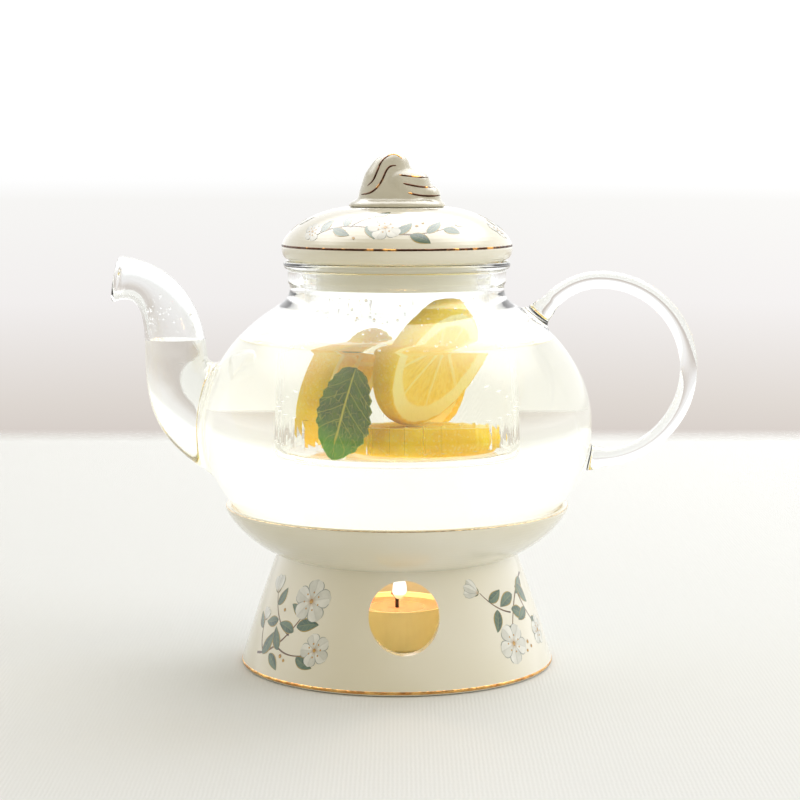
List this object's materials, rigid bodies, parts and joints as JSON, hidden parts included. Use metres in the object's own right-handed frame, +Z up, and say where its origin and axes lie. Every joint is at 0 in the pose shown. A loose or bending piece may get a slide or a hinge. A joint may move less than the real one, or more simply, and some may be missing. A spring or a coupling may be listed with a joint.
{
  "type": "glass teapot with candle warmer",
  "caption": "Round glass teapot with a swan-neck spout, a glass rod handle, a glass infuser and a porcelain lid, standing on a porcelain candle warmer.",
  "frame": {"origin": "on the table, at the centre of the warmer's foot ring", "axes": "+Z up, +X towards the handle, -X towards the spout, -Y out of the warmer's porthole"},
  "size_m": [0.2156, 0.1436, 0.1885],
  "materials": {
    "porcelain": "white porcelain with a clear glaze",
    "clear_glass": "clear blown borosilicate glass",
    "candle_cup": "thin pressed aluminium",
    "wax": "pale paraffin wax",
    "wick": "burnt cotton",
    "wick_tab": "tinned steel",
    "lemon": "wet lemon peel and flesh",
    "mint_leaf": "wet mint leaf"
  },
  "bodies": {
    "warmer": {"warmer_base": "porcelain"},
    "dish": {"warmer_dish": "porcelain"},
    "candle": {"candle_cup": "candle_cup", "candle_wax": "wax", "candle_wick": "wick", "wick_tab": "wick_tab"},
    "pot": {"pot_bowl": "clear_glass", "pot_neck": "clear_glass", "pot_spout": "clear_glass", "pot_handle": "clear_glass"},
    "infuser": {"infuser": "clear_glass", "lemon_slice_front": "lemon", "lemon_slice_left": "lemon", "lemon_slice_back": "lemon", "lemon_slice_low": "lemon", "mint_leaf_front": "mint_leaf", "mint_leaf_back": "mint_leaf"},
    "lid": {"lid_dome": "porcelain", "lid_knob": "porcelain"}
  },
  "joints": [
    {"name": "dish_lift", "type": "slide", "parent": "warmer", "child": "dish", "axis": [0, 0, 1], "range_m": [0, 0.06]},
    {"name": "candle_lift", "type": "slide", "parent": "warmer", "child": "candle", "axis": [0, 0, 1], "range_m": [0, 0.015]},
    {"name": "pot_lift", "type": "slide", "parent": "dish", "child": "pot", "axis": [0, 0, 1], "range_m": [0, 0.06]},
    {"name": "infuser_lift", "type": "slide", "parent": "pot", "child": "infuser", "axis": [0, 0, 1], "range_m": [0, 0.08]},
    {"name": "lid_lift", "type": "slide", "parent": "infuser", "child": "lid", "axis": [0, 0, 1], "range_m": [0, 0.06]}
  ]
}
